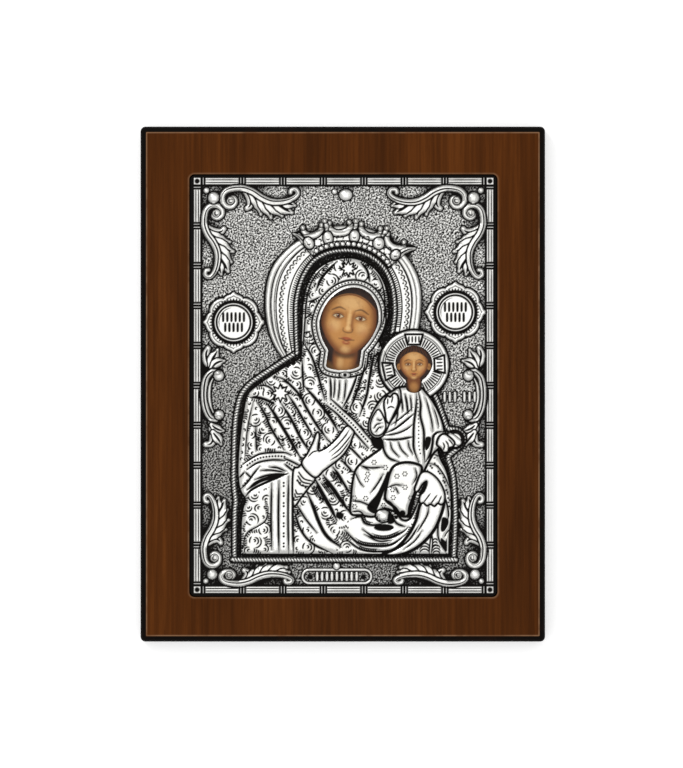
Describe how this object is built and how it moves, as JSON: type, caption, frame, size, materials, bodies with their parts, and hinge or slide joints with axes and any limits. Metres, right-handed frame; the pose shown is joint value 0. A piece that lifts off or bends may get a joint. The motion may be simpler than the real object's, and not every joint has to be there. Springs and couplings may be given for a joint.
{
  "type": "religious icon with silver cover",
  "caption": "Rectangular dark wood icon board with a recessed pressed silver relief cover of a mother and child; painted faces show through cut openings.",
  "frame": {"origin": "centre of the board's back face, under the middle of the icon", "axes": "the icon lies on its back: +X to its right, +Y towards its top, +Z out of its front"},
  "size_m": [0.205, 0.261, 0.0193],
  "materials": {
    "walnut": "satin varnish",
    "silver": "polished high spots over dark patina",
    "painted_sheet": "satin paint"
  },
  "bodies": {
    "root": {"wood_board": "walnut", "silver_cover": "silver", "painted_panel": "painted_sheet"}
  },
  "joints": []
}
